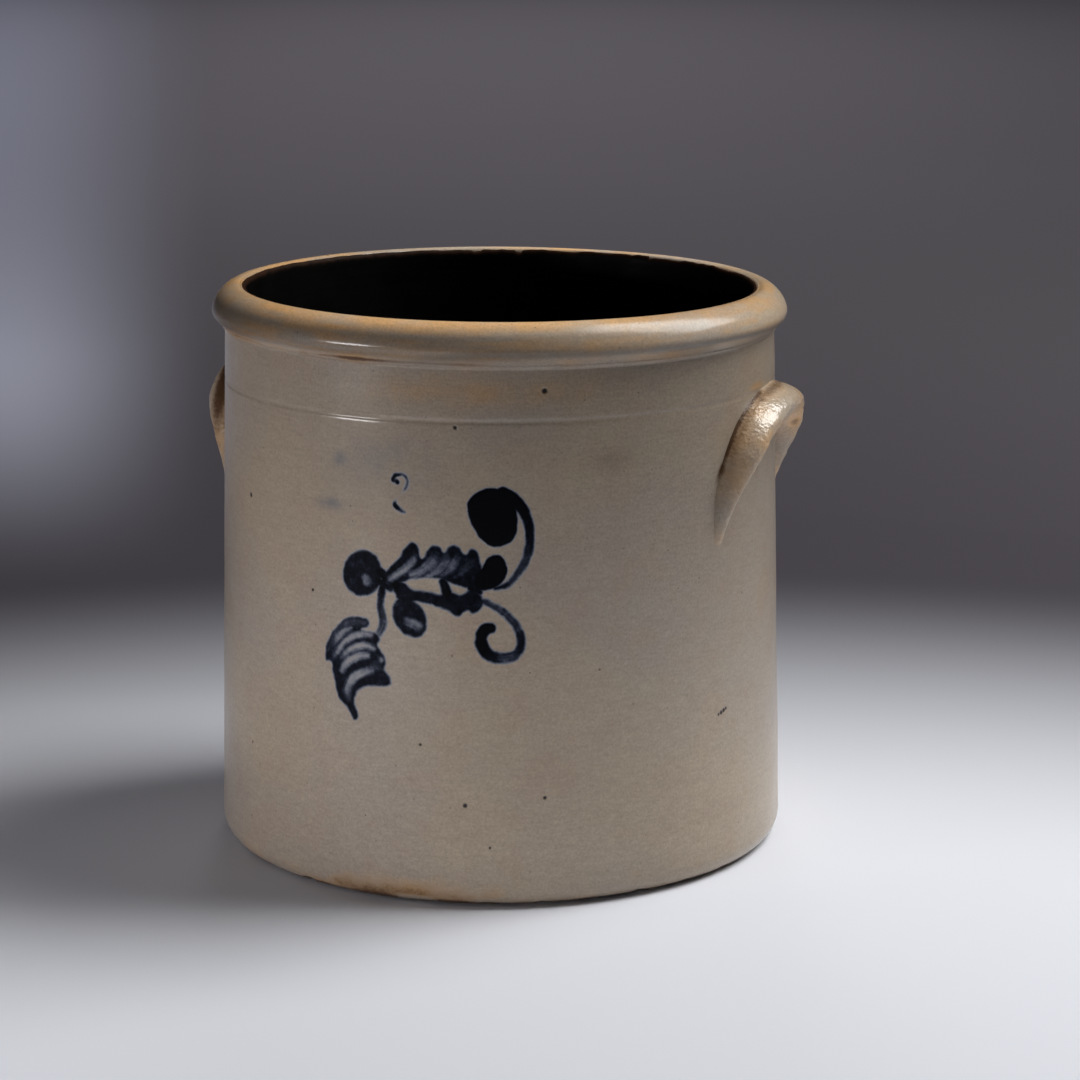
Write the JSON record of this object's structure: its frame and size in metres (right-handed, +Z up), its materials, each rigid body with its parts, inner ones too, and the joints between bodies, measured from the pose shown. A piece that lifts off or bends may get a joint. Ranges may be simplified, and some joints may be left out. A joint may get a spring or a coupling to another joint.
{
  "type": "stoneware crock",
  "caption": "Straight-sided salt-glazed stoneware crock with a rolled rim, lug handles, a dark slip lining and a trailed cobalt sprig, for storing and serving food.",
  "frame": {"origin": "middle of the foot, on the surface that the crock stands on", "axes": "+Z up along the axis of the thrown pot, the right handle on +X, the sprig faces -Y"},
  "size_m": [0.2574, 0.2406, 0.236],
  "materials": {
    "salt_glaze": "grey-tan salt glaze with a fine orange-peel gloss",
    "handle_glaze": "salt glaze toasted to tan, heavy orange peel",
    "slip": "dark brown-black clay slip, satin",
    "cobalt": "blue-black cobalt slip under the glaze"
  },
  "bodies": {
    "root": {"thrown_body": "salt_glaze", "left_handle": "handle_glaze", "right_handle": "handle_glaze", "slip_lining": "slip", "cobalt_sprig": "cobalt"}
  },
  "joints": []
}
